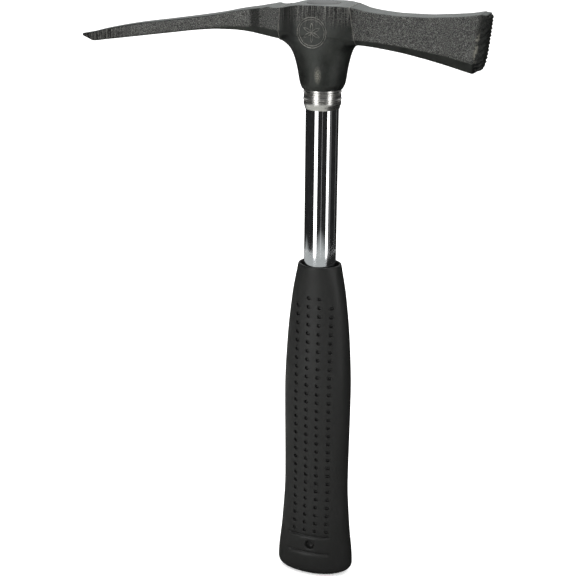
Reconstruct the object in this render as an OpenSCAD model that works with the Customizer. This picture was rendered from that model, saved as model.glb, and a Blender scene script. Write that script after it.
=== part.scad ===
// Pick hammer with a tubular steel handle, resting on its butt.
// Origin: centre of the butt's flat end, on the handle's axis.
// +Z runs up the handle to the head, +X towards the toothed poll, -X towards the pick.
// The head, the handle and the grip are symmetric about the plane Y = 0.

/* [Head] */
// Height of the head's top above the butt
head_top = 309.8; // [300:0.1:320]
// Height of the neck's lower end above the butt
neck_foot = 268.2; // [262:0.1:272]
// Distance from the handle's axis to the tip of the pick
pick_reach = 129.6; // [115:0.1:140]
// Distance from the handle's axis to the front edge of the toothed poll
poll_reach = 76.4; // [70:0.1:85]
// Thickness of the head across its cheeks
cheek_depth = 24.4; // [22:0.1:28]
// Thickness of the toothed poll
poll_depth = 14.2; // [12:0.1:18]
// Diameter of the round medallion on the front cheek
medallion_d = 14.7; // [10:0.1:16]

/* [Teeth] */
// Distance between the diagonal grooves of the striking face
tooth_pitch = 2.6; // [2:0.1:4]
// Depth of the diagonal grooves
tooth_depth = 1.1; // [0.5:0.1:1.5]

/* [Handle] */
// Outside diameter of the handle's tube
tube_d = 16.5; // [14:0.5:18]
// Wall thickness of the handle's tube
tube_wall = 1.5; // [1:0.1:2]
// Thickness of the tube where it is flattened inside the grip
flat_depth = 13.4; // [12:0.1:15]
// Diameter of the ring under the neck
ring_d = 19; // [18:0.1:22]
// Height of the ring under the neck
ring_h = 9.8; // [6:0.1:12]

/* [Grip] */
// Height of the grip's mouth above the butt
grip_top = 178; // [160:0.5:190]
// Largest width of the grip at its butt
butt_w = 42.4; // [38:0.1:44]
// Largest width of the grip at its palm swell
palm_w = 36; // [32:0.1:38]
// Thickness of the grip at its palm swell
palm_depth = 22.4; // [20:0.1:26]
// Diameter of the round blind recess in the front of the grip
recess_d = 4.8; // [3:0.1:6]

/* [Hidden] */
$fn = 96;

tube_r = tube_d / 2;
bore_r = tube_r - tube_wall;
tube_foot = 14;
flat_top = 156;
shoulder = 150;
shoulder_bore = 154;
neck_r = 10.9;
neck_chamfer_h = 3.8;
plug_h = 12;
plug_dome = 0.2;
end_plug_h = 16;
end_plug_flange = 2;
butt_round = 4;
sections_per_grip = 16;
points_per_grip = 36;
points_per_eye = 40;

// Pick, from the tip to the eye:
// [x, top z, bottom z, half thickness, top edge chamfer, bottom edge chamfer]
pick_stations = [
    [-pick_reach, head_top - 21.9, head_top - 22.9, 0.9, 0.2, 0.2],
    [-pick_reach + 5.2, head_top - 20.7, head_top - 24.4, 2.3, 0.6, 0.5],
    [-pick_reach + 14, head_top - 18.6, head_top - 23.5, 3.0, 0.8, 0.6],
    [-98, head_top - 14.9, head_top - 21.0, 3.9, 0.9, 0.8],
    [-80, head_top - 12.1, head_top - 18.2, 4.7, 0.9, 0.9],
    [-62, head_top - 9.2, head_top - 15.6, 5.6, 0.9, 1.1],
    [-52, head_top - 7.4, head_top - 14.8, 6.5, 0.9, 1.6],
    [-44, head_top - 5.6, head_top - 14.9, 7.2, 0.9, 2.2],
    [-37, head_top - 4.2, head_top - 15.7, 7.7, 0.7, 3.4],
    [-30, head_top - 3.1, head_top - 16.7, 9.4, 0.4, 4.4],
    [-20, head_top - 1.9, head_top - 18.4, 9.8, 0.3, 4.8],
    [-8, head_top - 0.8, head_top - 19.6, 9.8, 0.3, 4.8],
    [0, head_top - 0.2, head_top - 19.6, 9.8, 0.3, 4.6]
];

// Poll, from the eye to the toothed end, in the same form
poll_stations = [
    [0, head_top - 0.2, head_top - 19.6, 9.6, 0.3, 4.6],
    [8, head_top, head_top - 19.2, 9.6, 0.3, 3.4],
    [16, head_top - 0.7, head_top - 18.8, 9.4, 0.3, 2.9],
    [22, head_top - 2.2, head_top - 19.1, 7.2, 0.3, 3.0],
    [30, head_top - 3.2, head_top - 20.1, 6.7, 0.3, 3.4],
    [40, head_top - 3.8, head_top - 21.6, 6.5, 0.3, 3.8],
    [50, head_top - 3.8, head_top - 23.6, 6.6, 0.3, 4.4],
    [60, head_top - 3.2, head_top - 25.9, 6.8, 0.3, 5.2],
    [70, head_top - 2.2, head_top - 28.3, 7.0, 0.3, 5.6],
    [poll_reach, head_top - 1.1, head_top - 29.5, poll_depth / 2, 0.3, 5.6],
    [poll_reach + 1.9, head_top - 2.8, head_top - 27.2, poll_depth / 2 - 1.5, 0.6, 4.8],
    [poll_reach + 4.4, head_top - 3.7, head_top - 25.9, poll_depth / 2 - 2.3, 0.9, 4.2]
];

// The poll's end leans by this much in x for each mm of height
poll_lean = 0.1;
poll_mid_z = head_top - 15;

// Eye and neck, from the foot up: [z, left reach, right reach, half depth, squareness]
eye_stations = [
    [neck_foot, 9.3, 9.3, 9.3, 2],
    [neck_foot + neck_chamfer_h, neck_r, neck_r, neck_r, 2],
    [278.6, 12.2, 12.1, 11.6, 2],
    [284.3, 13.7, 13.3, 12.0, 2],
    [288, 15.4, 14.6, cheek_depth / 2, 2.1],
    [290.6, 17.9, 16.3, cheek_depth / 2, 2.2],
    [293, 19.6, 17.4, cheek_depth / 2, 2.3],
    [300, 19.6, 17.4, cheek_depth / 2 - 0.2, 2.3],
    [305, 19.4, 17.0, cheek_depth / 2 - 0.7, 2.3],
    [head_top - 0.6, 18.8, 16.0, cheek_depth / 2 - 1.4, 2.3]
];

function clamp01(t) = min(1, max(0, t));
function smooth(t) = clamp01(t) * clamp01(t) * (3 - 2 * clamp01(t));
function blend(a, b, t) = a + (b - a) * smooth(t);
function sgn_pow(v, e) = sign(v) * pow(abs(v), e);

// Half of an arm's section, turned by side = 1 or -1, from the top inwards
function half_section(s, side) = [
    [side * (s[3] - s[4]), s[1]],
    [side * s[3], s[1] - s[4]],
    [side * s[3], s[2] + s[5]],
    [side * max(0.5, s[3] - 0.75 * s[5]), s[2]]
];

function mirrored(points) = [for (i = [len(points) - 1:-1:0]) points[i]];

function arm_ring(s, lean) = [
    for (p = concat(half_section(s, 1), mirrored(half_section(s, -1))))
        [s[0] + lean * (p[1] - poll_mid_z), p[0], p[1]]
];

function eye_ring(s) = [
    for (i = [0:points_per_eye - 1])
        let (a = -360 * i / points_per_eye, c = cos(a), d = sin(a), reach = c < 0 ? s[1] : s[2])
            [reach * sgn_pow(c, 2 / s[4]), s[3] * sgn_pow(d, 2 / s[4]), s[0]]
];

// Skins a list of rings that all have the same number of points, in clockwise order from the last ring
module skin(rings) {
    n = len(rings[0]);
    last = len(rings) - 1;
    sides = [
        for (r = [0:last - 1], i = [0:n - 1], upper = [false, true])
            let (a = r * n + i, b = r * n + (i + 1) % n, c = b + n, d = a + n)
                upper ? [a, c, d] : [a, b, c]
    ];
    caps = [[for (i = [n - 1:-1:0]) i], [for (i = [0:n - 1]) last * n + i]];
    polyhedron([for (r = rings, p = r) p], concat(sides, caps), convexity = 6);
}

module pick() {
    skin([for (s = pick_stations) arm_ring(s, 0)]);
}

module poll() {
    skin([for (s = poll_stations) arm_ring(s, s[0] > 60 ? poll_lean : 0)]);
}

module eye_and_neck() {
    skin([for (s = eye_stations) eye_ring(s)]);
}

// Diagonal V grooves across the striking face, in both directions
module tooth_grooves() {
    span = 24;
    face_x = poll_reach + 4.4;
    lean_angle = atan(poll_lean);
    translate([face_x, 0, poll_mid_z])
        rotate([0, lean_angle, 0])
            for (turn = [45, -45], k = [-6:6])
                rotate([turn, 0, 0])
                    translate([0, k * tooth_pitch, 0])
                        rotate([0, 0, 45])
                            cube([tooth_depth * sqrt(2), tooth_depth * sqrt(2), 2 * span], center = true);
}

module medallion() {
    rim_w = 0.7;
    rim_h = 0.4;
    translate([-1.7, -cheek_depth / 2 + 0.3, head_top - 13])
        rotate([90, 0, 0])
            difference() {
                cylinder(d = medallion_d, h = 0.3 + rim_h);
                translate([0, 0, 0.3]) cylinder(d = medallion_d - 2 * rim_w, h = 2);
            }
}

module head() {
    color("dimgray")
        difference() {
            union() {
                pick();
                poll();
                eye_and_neck();
                medallion();
            }
            tooth_grooves();
            translate([0, 0, neck_foot - 5]) cylinder(r = tube_r, h = 60);
        }
}

// Stadium section that the tube is flattened to, with its girth kept
module flattened(shrink) {
    half_t = flat_depth / 2 - shrink;
    half_flat = PI * (tube_d - flat_depth) / 4;
    translate([-half_flat, 0]) circle(r = half_t);
    translate([half_flat, 0]) circle(r = half_t);
    square([2 * half_flat, 2 * half_t], center = true);
}

// Solid core of the tube: flattened inside the grip, round above the shoulder
module tube_core(shrink, z_low, z_shoulder, z_high) {
    translate([0, 0, z_low]) linear_extrude(flat_top - z_low) flattened(shrink);
    translate([0, 0, z_shoulder]) cylinder(r = tube_r - shrink, h = z_high - z_shoulder);
}

module handle_tube() {
    color("gainsboro")
        difference() {
            tube_core(0, tube_foot, shoulder, head_top);
            tube_core(tube_wall, tube_foot - 1, shoulder_bore, head_top + 1);
        }
}

module collar_ring() {
    groove = 0.35;
    r = ring_d / 2;
    foot = neck_foot - ring_h;
    lip_r = 1.9;
    color("silver")
        rotate_extrude()
            difference() {
                union() {
                    translate([tube_r, foot + lip_r]) square([r - tube_r, ring_h - lip_r]);
                    translate([tube_r, foot]) square([r - tube_r - 0.7, lip_r]);
                    translate([r - 0.95, foot + lip_r]) circle(r = 0.95, $fn = 32);
                }
                for (drop = [1.5, 5.1])
                    translate([r, neck_foot - drop]) circle(r = groove, $fn = 24);
            }
}

module expansion_plug() {
    dome_r = (bore_r * bore_r + plug_dome * plug_dome) / (2 * plug_dome);
    color("darkgray")
        union() {
            translate([0, 0, head_top - plug_h]) cylinder(r = bore_r, h = plug_h);
            intersection() {
                translate([0, 0, head_top + plug_dome - dome_r]) sphere(r = dome_r);
                translate([0, 0, head_top - 1]) cylinder(r = bore_r, h = 5);
            }
        }
}

// Half width and half depth of the grip at height z
function grip_half_w(z) =
    z < 55 ? blend(butt_w / 2, palm_w / 2 - 0.4, z / 55)
    : z < 108 ? blend(palm_w / 2 - 0.4, palm_w / 2, (z - 55) / 53)
    : palm_w / 2 - (palm_w / 2 - 11.2) * pow((z - 108) / (grip_top - 108), 2.1);

function grip_half_d(z) =
    z < 55 ? blend(palm_depth / 2 + 0.5, palm_depth / 2 - 0.9, z / 55)
    : z < 108 ? blend(palm_depth / 2 - 0.9, palm_depth / 2, (z - 55) / 53)
    : z < 161 ? blend(palm_depth / 2, 9.1, (z - 108) / 53)
    : blend(9.1, 9.4, (z - 161) / (grip_top - 161));

// Inset of the rounded butt edge at height z
function butt_inset(z) = z >= butt_round ? 0 : butt_round - sqrt(butt_round * butt_round - pow(butt_round - z, 2));

function grip_levels() = concat(
    [for (i = [0:5]) butt_round * (1 - cos(90 * i / 6))],
    [for (i = [0:sections_per_grip]) butt_round + (grip_top - butt_round) * i / sections_per_grip]
);

function grip_ring(z) = [
    for (i = [0:points_per_grip - 1])
        let (a = -360 * i / points_per_grip, e = 2 / 2.15)
            [
                (grip_half_w(z) - butt_inset(z)) * sgn_pow(cos(a), e),
                (grip_half_d(z) - butt_inset(z)) * sgn_pow(sin(a), e),
                z
            ]
];

module grip() {
    recess_z = 19.3;
    recess_x = -0.4;
    recess_depth = 2.2;
    groove_w = 22.4;
    color("#2b2b2b")
        difference() {
            skin([for (z = grip_levels()) grip_ring(z)]);
            tube_core(0, tube_foot - end_plug_flange, shoulder, head_top);
            translate([recess_x, -grip_half_d(recess_z) + recess_depth, recess_z])
                rotate([90, 0, 0]) cylinder(d = recess_d, h = 10);
            for (z = [24.4, 14.3])
                translate([0.6, -grip_half_d(z) - 0.1, z]) cube([groove_w, 1.2, 0.9], center = true);
        }
}

module tube_end_plug() {
    color("black")
        union() {
            translate([0, 0, tube_foot - end_plug_flange]) linear_extrude(end_plug_flange) flattened(0);
            translate([0, 0, tube_foot]) linear_extrude(end_plug_h) flattened(tube_wall);
        }
}

head();
handle_tube();
collar_ring();
expansion_plug();
grip();
tube_end_plug();
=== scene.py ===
# %% [markdown]
# # A pick hammer on a tubular steel handle
#
# The tool is a forged head pressed on a chromed steel tube, with a turned ring under the neck
# and a soft black sleeve for the hand. This lesson builds what the eye sees of it, piece by piece,
# around the CAD model that already fixes the main sizes. Lengths below are in millimetres, and the
# helper `mm` turns them into metres, because the frame is in metres.

# %% Load the fixed frame
from math import atan2, cos, pi, radians, sin, sqrt

import bmesh
import bpy
from mathutils import Matrix, Vector
from mathutils.bvhtree import BVHTree


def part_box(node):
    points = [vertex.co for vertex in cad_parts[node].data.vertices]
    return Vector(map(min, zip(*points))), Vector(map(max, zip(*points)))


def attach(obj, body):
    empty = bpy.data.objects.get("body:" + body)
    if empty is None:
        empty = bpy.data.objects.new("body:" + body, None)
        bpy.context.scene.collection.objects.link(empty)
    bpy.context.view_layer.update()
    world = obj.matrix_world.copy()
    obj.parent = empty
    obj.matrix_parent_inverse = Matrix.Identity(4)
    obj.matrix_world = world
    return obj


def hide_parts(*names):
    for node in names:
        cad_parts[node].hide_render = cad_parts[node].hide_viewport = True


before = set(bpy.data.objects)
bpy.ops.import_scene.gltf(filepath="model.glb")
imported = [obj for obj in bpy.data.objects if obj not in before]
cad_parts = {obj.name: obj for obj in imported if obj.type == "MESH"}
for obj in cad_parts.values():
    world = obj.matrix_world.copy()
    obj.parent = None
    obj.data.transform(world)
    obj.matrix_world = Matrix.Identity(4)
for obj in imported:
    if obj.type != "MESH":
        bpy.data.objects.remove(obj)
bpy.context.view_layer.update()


def mm(*lengths):
    """Millimetres to metres: one number, or a vector of three."""
    if len(lengths) == 1:
        return lengths[0] * 0.001
    return Vector(lengths) * 0.001


def in_mm(length):
    """Metres to millimetres."""
    return length * 1000


# %% [markdown]
# ## Sizes read from the frame
#
# The main places come from the CAD nodes' own boxes, so a change of the design moves the looks with
# it. The head's top is the tube's upper end, the neck's foot is the ring's upper end, the tube's
# bore is the expansion plug's radius, and the grip gives its own height and width.

# %% Read the driving sizes
head_low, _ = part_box("head")
ring_low, ring_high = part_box("collar_ring")
plug_low, plug_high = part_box("expansion_plug")
tube_low, tube_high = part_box("handle_tube")
_, grip_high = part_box("grip")
_, end_plug_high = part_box("tube_end_plug")

HEAD_TOP = in_mm(tube_high.z)
NECK_FOOT = in_mm(ring_high.z)
RING_FOOT = in_mm(ring_low.z)
RING_R = in_mm(ring_high.x)
TUBE_R = in_mm(tube_high.y)
TUBE_BORE_R = in_mm(plug_high.x)
GRIP_TOP = in_mm(grip_high.z)
BUTT_HALF_W = in_mm(grip_high.x)
PICK_TIP_X = in_mm(head_low.x)
print("head top", round(HEAD_TOP, 2), "neck foot", round(NECK_FOOT, 2), "tube radius", round(TUBE_R, 2))


# %% [markdown]
# ## Camera, floor and light
#
# The camera stands about 70 cm away, a little above the head, and looks down along the handle.
# The floor is plain and pale, and glows a little so that it stays even. Polished
# metal only looks like metal when it has something dark and something bright to mirror, so the
# object stands inside a dark ring wall with tall light boxes in it. The wall's foot has a glowing
# skirt of painted light that ends softly, and a grey card lies on a dark table. Wall, table and card show
# in reflections alone, as a photographer's black flags stay outside the picture, and the camera
# doesn't see the boxes.

# %% Camera
CAMERA_PLACE = mm(193.1, -625.1, 395.3)
CAMERA_HEADING = 18.59
CAMERA_DIP = 19.48
CAMERA_ROLL = 0.44
SENSOR = 36.0
LENS = 83.9

camera_data = bpy.data.cameras.new("camera")
camera_data.sensor_width = SENSOR
camera_data.lens = LENS
camera_data.clip_start = 0.01
camera = bpy.data.objects.new("camera", camera_data)
bpy.context.scene.collection.objects.link(camera)
turn = Matrix.Rotation(radians(CAMERA_HEADING), 4, "Z")
tip = Matrix.Rotation(radians(90 - CAMERA_DIP), 4, "X")
roll = Matrix.Rotation(radians(CAMERA_ROLL), 4, "Z")
camera.matrix_world = Matrix.Translation(CAMERA_PLACE) @ turn @ tip @ roll
bpy.context.scene.camera = camera
bpy.context.scene.view_settings.view_transform = "Standard"
print("camera at", [round(v, 3) for v in CAMERA_PLACE])


# %% [markdown]
# Materials are node trees. A few small helpers keep them readable: one starts a material and
# returns its shader, one adds a node, and one feeds an object-space noise. Object coordinates are
# used throughout, because they stay on the piece from every view.

# %% Material helpers
def new_material(name, base, metallic, roughness):
    """A material with a Principled shader, its base colour in linear light."""
    material = bpy.data.materials.new(name)
    material.use_nodes = True
    shader = material.node_tree.nodes["Principled BSDF"]
    shader.inputs["Base Color"].default_value = (*base, 1)
    shader.inputs["Metallic"].default_value = metallic
    shader.inputs["Roughness"].default_value = roughness
    return material, shader


def add_node(material, kind, **settings):
    node = material.node_tree.nodes.new(kind)
    for name, value in settings.items():
        setattr(node, name, value)
    return node


def wire(material, source, target):
    material.node_tree.links.new(source, target)


def object_coords(material, scale=(1, 1, 1)):
    """Object coordinates through a Mapping node, in metres."""
    coords = add_node(material, "ShaderNodeTexCoord")
    mapping = add_node(material, "ShaderNodeMapping")
    mapping.inputs["Scale"].default_value = scale
    wire(material, coords.outputs["Object"], mapping.inputs["Vector"])
    return mapping.outputs["Vector"]


def axes_of(material, vector):
    """The three parts of a vector output."""
    node = add_node(material, "ShaderNodeSeparateXYZ")
    wire(material, vector, node.inputs["Vector"])
    return node.outputs["X"], node.outputs["Y"], node.outputs["Z"]


def flat_colour(material, colour):
    node = add_node(material, "ShaderNodeRGB")
    node.outputs[0].default_value = (*colour, 1)
    return node.outputs[0]


def noise(material, vector, scale, detail=3.0, roughness=0.6):
    node = add_node(material, "ShaderNodeTexNoise")
    node.inputs["Scale"].default_value = scale
    node.inputs["Detail"].default_value = detail
    node.inputs["Roughness"].default_value = roughness
    wire(material, vector, node.inputs["Vector"])
    return node.outputs["Fac"]


def ramp(material, value, stops):
    """A colour ramp from (position, grey or colour) stops."""
    node = add_node(material, "ShaderNodeValToRGB")
    while len(node.color_ramp.elements) < len(stops):
        node.color_ramp.elements.new(0.5)
    for element, (position, colour) in zip(node.color_ramp.elements, stops):
        element.position = position
        tint = (colour,) * 3 if isinstance(colour, (int, float)) else colour
        element.color = (*tint, 1)
    wire(material, value, node.inputs["Fac"])
    return node.outputs["Color"]


def mix(material, factor, first, second):
    """Mixes two colour outputs by a factor output."""
    node = add_node(material, "ShaderNodeMix", data_type="RGBA")
    wire(material, factor, node.inputs["Factor"])
    wire(material, first, node.inputs[6])
    wire(material, second, node.inputs[7])
    return node.outputs[2]


def calc(material, operation, first, second):
    """Maths on two values, each an output or a number."""
    node = add_node(material, "ShaderNodeMath", operation=operation)
    for socket, value in zip(node.inputs, (first, second)):
        if isinstance(value, (int, float)):
            socket.default_value = value
        else:
            wire(material, value, socket)
    return node.outputs["Value"]


def bump(material, shader, height, strength, distance):
    node = add_node(material, "ShaderNodeBump")
    node.inputs["Strength"].default_value = strength
    node.inputs["Distance"].default_value = distance
    wire(material, height, node.inputs["Height"])
    wire(material, node.outputs["Normal"], shader.inputs["Normal"])
    return node


print("helpers ready, and 1 m is", in_mm(1), "mm")

# %% Floor, light boxes and the dark ring wall
def stage_object(name, shape_maker, material):
    """A stage piece made by a bmesh operator, which isn't part of the hammer."""
    mesh = bpy.data.meshes.new(name)
    shape = bmesh.new()
    shape_maker(shape)
    shape.to_mesh(mesh)
    shape.free()
    piece = bpy.data.objects.new(name, mesh)
    bpy.context.scene.collection.objects.link(piece)
    mesh.materials.append(material)
    return piece


FLOOR_HALF = 6.0
FLOOR_GLOW = 0.35
WALL_R = 0.58
WALL_H = 1.3
floor_paint, floor_shader = new_material("floor_paint", (0.93, 0.93, 0.93), 0.0, 0.9)
floor_shader.inputs["Emission Color"].default_value = (1, 1, 1, 1)
floor_shader.inputs["Emission Strength"].default_value = FLOOR_GLOW
floor = stage_object(
    "floor",
    lambda shape: bmesh.ops.create_grid(shape, x_segments=1, y_segments=1, size=FLOOR_HALF),
    floor_paint,
)
# heading from the camera's side, height in mm of the glowing skirt at the wall's foot
SKIRT_HEIGHTS = (
    (-180, 0), (-150, 3), (-115, 18), (-75, 0), (-45, 12), (0, 26), (45, 12), (80, 0), (180, 0)
)
SKIRT_SOFT = 18.0
SKIRT_MAX = 50.0
# the skirt's glow: painted light for the chrome to mirror
SKIRT_GLOW = (0.43, 0.45, 0.45)
BLACK = (0, 0, 0)
CLOTH_TONE = (0.005, 0.005, 0.0055)


def skirted_wall():
    """Dark cloth with a glowing, softly ending skirt of painted light, whose height changes round the room.
    """
    material, shader = new_material("wall_cloth", CLOTH_TONE, 0.0, 1.0)
    along, back, height = axes_of(material, object_coords(material))
    turn = calc(material, "ARCTAN2", along, calc(material, "MULTIPLY", back, -1.0))
    turn = calc(material, "SUBTRACT", turn, radians(CAMERA_HEADING))
    turn = calc(material, "MULTIPLY", calc(material, "ADD", turn, pi), 1 / (2 * pi))
    turn = calc(material, "FRACT", calc(material, "ADD", turn, 1.0), 0)
    reach = ramp(material, turn, [((h + 180) / 360, tall / SKIRT_MAX) for h, tall in SKIRT_HEIGHTS])
    climb = calc(material, "MULTIPLY", height, in_mm(1) / SKIRT_MAX)
    under = calc(material, "MULTIPLY", calc(material, "SUBTRACT", reach, climb), SKIRT_MAX / SKIRT_SOFT)
    lit = ramp(material, under, [(0.0, 0.0), (1.0, 1.0)])
    # The skirt's tone goes into the emission, so it glows as painted light though it is no lamp.
    glow = mix(material, lit, flat_colour(material, BLACK), flat_colour(material, SKIRT_GLOW))
    wire(material, glow, shader.inputs["Emission Color"])
    shader.inputs["Emission Strength"].default_value = 1.0
    return material


dark_cloth, _ = new_material("dark_cloth", CLOTH_TONE, 0.0, 1.0)


def ring_wall(shape):
    lift = Matrix.Translation((0, 0, WALL_H / 2))
    bmesh.ops.create_cone(
        shape, segments=64, radius1=WALL_R, radius2=WALL_R, depth=WALL_H, matrix=lift
    )


DARK_TABLE_DROP = 0.0008
GREY_CARD_DROP = 0.0004
CARD_DARK_HEADINGS = (48, 200)


def table_disc(shape, drop):
    lower = Matrix.Translation((0, 0, -drop))
    bmesh.ops.create_circle(shape, cap_ends=True, segments=64, radius=WALL_R, matrix=lower)


CARD_TONE = (0.34, 0.345, 0.33)
CARD_FADE = (0.50, 0.53)
CARD_EDGE_SOFT = 0.13
CARD_BLACK = (0.005, 0.005, 0.005)


def soft_card():
    """Grey in the middle and glowing like the wall's skirt at the rim, but black over a wedge."""
    material, shader = new_material("grey_card", CARD_TONE, 0.0, 0.9)
    here = object_coords(material)
    far = add_node(material, "ShaderNodeVectorMath", operation="LENGTH")
    wire(material, here, far.inputs[0])
    inside = ramp(material, far.outputs["Value"], [(CARD_FADE[0], 1.0), (CARD_FADE[1], 0.0)])
    sides = []
    for heading, way in zip(CARD_DARK_HEADINGS, (-1, 1)):
        edge = radians(CAMERA_HEADING + heading)
        across = add_node(material, "ShaderNodeVectorMath", operation="DOT_PRODUCT")
        wire(material, here, across.inputs[0])
        across.inputs[1].default_value = (way * cos(edge), way * sin(edge), 0)
        sides.append(ramp(material, across.outputs["Value"], [(0.0, 0.0), (CARD_EDGE_SOFT, 1.0)]))
    beside = calc(material, "MAXIMUM", *sides)
    black = flat_colour(material, CARD_BLACK)
    shown = calc(material, "MULTIPLY", inside, beside)
    tone = mix(material, shown, black, flat_colour(material, CARD_TONE))
    wire(material, tone, shader.inputs["Base Color"])
    outside = calc(material, "MULTIPLY", calc(material, "SUBTRACT", 1.0, inside), beside)
    glow = mix(material, outside, black, flat_colour(material, SKIRT_GLOW))
    wire(material, glow, shader.inputs["Emission Color"])
    shader.inputs["Emission Strength"].default_value = 1.0
    return material


grey_card = soft_card()
wall = stage_object("dark_wall", ring_wall, skirted_wall())
table = stage_object("dark_table", lambda shape: table_disc(shape, DARK_TABLE_DROP), dark_cloth)
card = stage_object(
    "mirrored_card", lambda shape: table_disc(shape, GREY_CARD_DROP), grey_card
)
for hidden in (wall, table, card):
    for way in ("camera", "diffuse", "shadow", "transmission", "volume_scatter"):
        setattr(hidden, "visible_" + way, False)
floor.visible_glossy = False


def light_box(name, heading, distance, height, size, power, lean=0.0):
    """An area light at a heading round the object, measured from the camera's side."""
    data = bpy.data.lights.new(name, "AREA")
    data.shape = "RECTANGLE"
    data.size, data.size_y = size
    data.energy = power
    light = bpy.data.objects.new(name, data)
    bpy.context.scene.collection.objects.link(light)
    spin = Matrix.Rotation(radians(CAMERA_HEADING + heading), 4, "Z")
    place = Matrix.Translation((0, -distance, height))
    aim = Matrix.Rotation(radians(90 - lean), 4, "X")
    light.matrix_world = spin @ place @ aim
    light.visible_camera = False
    return light


light_box("left_box", -40.5, 0.565, 0.55, (0.23, 1.1), 1.9)
light_box("right_box", 44, 0.565, 0.55, (0.165, 1.1), 1.3)
light_box("right_far_box", 62, 0.565, 0.55, (0.14, 1.1), 0.05)
light_box("centre_sliver", 1, 0.565, 0.55, (0.02, 1.1), 0.025)
light_box("side_sliver", 116, 0.565, 0.5, (0.03, 1.0), 0.02)
light_box("rear_box", 176, 0.565, 0.5, (0.1, 1.0), 0.45)
light_box("rear_high_box", 184, 0.3, 0.65, (0.9, 0.74), 1.55)
light_box("top_box", 0, 0.0, 1.28, (0.8, 0.8), 2.0, lean=90)

world = bpy.data.worlds.new("studio")
world.use_nodes = True
world.node_tree.nodes["Background"].inputs["Color"].default_value = (1, 1, 1, 1)
world.node_tree.nodes["Background"].inputs["Strength"].default_value = 1.25
bpy.context.scene.world = world


# %% [markdown]
# ## Skinning a row of sections
#
# A forged arm is described by a few sections along its length: how high its top and bottom stand,
# how thick it is, and how wide its chamfers are. Between two described sections the sizes follow a
# smooth curve. The mesh starts as one ring of edges, which is extruded again and again, and each
# new ring is put on the next section. That gives clean rows of quads along the piece.

# %% Smooth rows and the skinning helper
def smooth_between(rows):
    """Returns f(x) that runs smoothly through rows of numbers, whose first number is x."""
    xs = [row[0] for row in rows]

    def slope(i, k):
        if i in (0, len(rows) - 1):
            j = 1 if i == 0 else i
            return (rows[j][k] - rows[j - 1][k]) / (xs[j] - xs[j - 1])
        left = (rows[i][k] - rows[i - 1][k]) / (xs[i] - xs[i - 1])
        right = (rows[i + 1][k] - rows[i][k]) / (xs[i + 1] - xs[i])
        return 0.0 if left * right <= 0 else 2 * left * right / (left + right)

    def value(x):
        i = max(0, min(len(rows) - 2, sum(1 for each in xs if each <= x) - 1))
        span = xs[i + 1] - xs[i]
        t = max(0.0, min(1.0, (x - xs[i]) / span))
        weights = (2 * t**3 - 3 * t**2 + 1, t**3 - 2 * t**2 + t, 3 * t**2 - 2 * t**3, t**3 - t**2)
        result = []
        for k in range(1, len(rows[0])):
            ends = (rows[i][k], slope(i, k) * span, rows[i + 1][k], slope(i + 1, k) * span)
            result.append(sum(w * e for w, e in zip(weights, ends)))
        return result

    return value


def skin_sections(shape, sections, closed_ring=False):
    """Extrudes a ring of edges through sections, each a list of points.

    The two ends are capped, or bridged to each other when the sections come back to the start."""
    count = len(sections[0])
    ring = bmesh.ops.create_circle(shape, segments=count)["verts"]
    first = list(ring)
    for vert, point in zip(ring, sections[0]):
        vert.co = point
    for section in sections[1:]:
        edges = [shape.edges.get((ring[i], ring[(i + 1) % count])) for i in range(count)]
        made = bmesh.ops.extrude_edge_only(shape, edges=edges)["geom"]
        fresh = [g for g in made if isinstance(g, bmesh.types.BMVert)]
        old_to_new = {}
        for vert in fresh:
            for edge in vert.link_edges:
                other = edge.other_vert(vert)
                if other not in fresh:
                    old_to_new[other] = vert
        ring = [old_to_new[vert] for vert in ring]
        for vert, point in zip(ring, section):
            vert.co = point
    if closed_ring:
        ends = [shape.edges.get((loop[i - 1], loop[i])) for loop in (first, ring) for i in range(count)]
        bmesh.ops.bridge_loops(shape, edges=ends)
    else:
        shape.faces.new(first[::-1])
        shape.faces.new(ring)
    bmesh.ops.recalc_face_normals(shape, faces=shape.faces)
    return first, ring


def finish_piece(name, shape, material, body="root", smooth=True):
    """Turns a bmesh into an object that rides on a body."""
    mesh = bpy.data.meshes.new(name)
    shape.to_mesh(mesh)
    shape.free()
    for polygon in mesh.polygons:
        polygon.use_smooth = smooth
    mesh.materials.append(material)
    piece = bpy.data.objects.new(name, mesh)
    bpy.context.scene.collection.objects.link(piece)
    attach(piece, body)
    return piece


def apply_modifiers(piece):
    """Bakes a piece's live modifiers into its mesh."""
    depsgraph = bpy.context.evaluated_depsgraph_get()
    baked = bpy.data.meshes.new_from_object(piece.evaluated_get(depsgraph))
    piece.modifiers.clear()
    old = piece.data
    piece.data = baked
    bpy.data.meshes.remove(old)
    return piece


print("a smooth step from 0 to 10, a quarter of the way:", smooth_between([(0, 0), (1, 10)])(0.25))


# %% [markdown]
# ## The forged head
#
# A drop-forged head is one piece of steel: a thin pick that widens into the eye, a cone that grips
# the tube, and a poll that flares to its toothed end. The top edges are crisp, where the blank was
# ground, and the lower edges carry a wide chamfer. The three stretches are skinned on their own,
# joined, and fused by a fine voxel remesh. That rounds their meeting lines as forging dies do,
# which separate pieces or a plain union would leave as hard creases.

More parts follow.
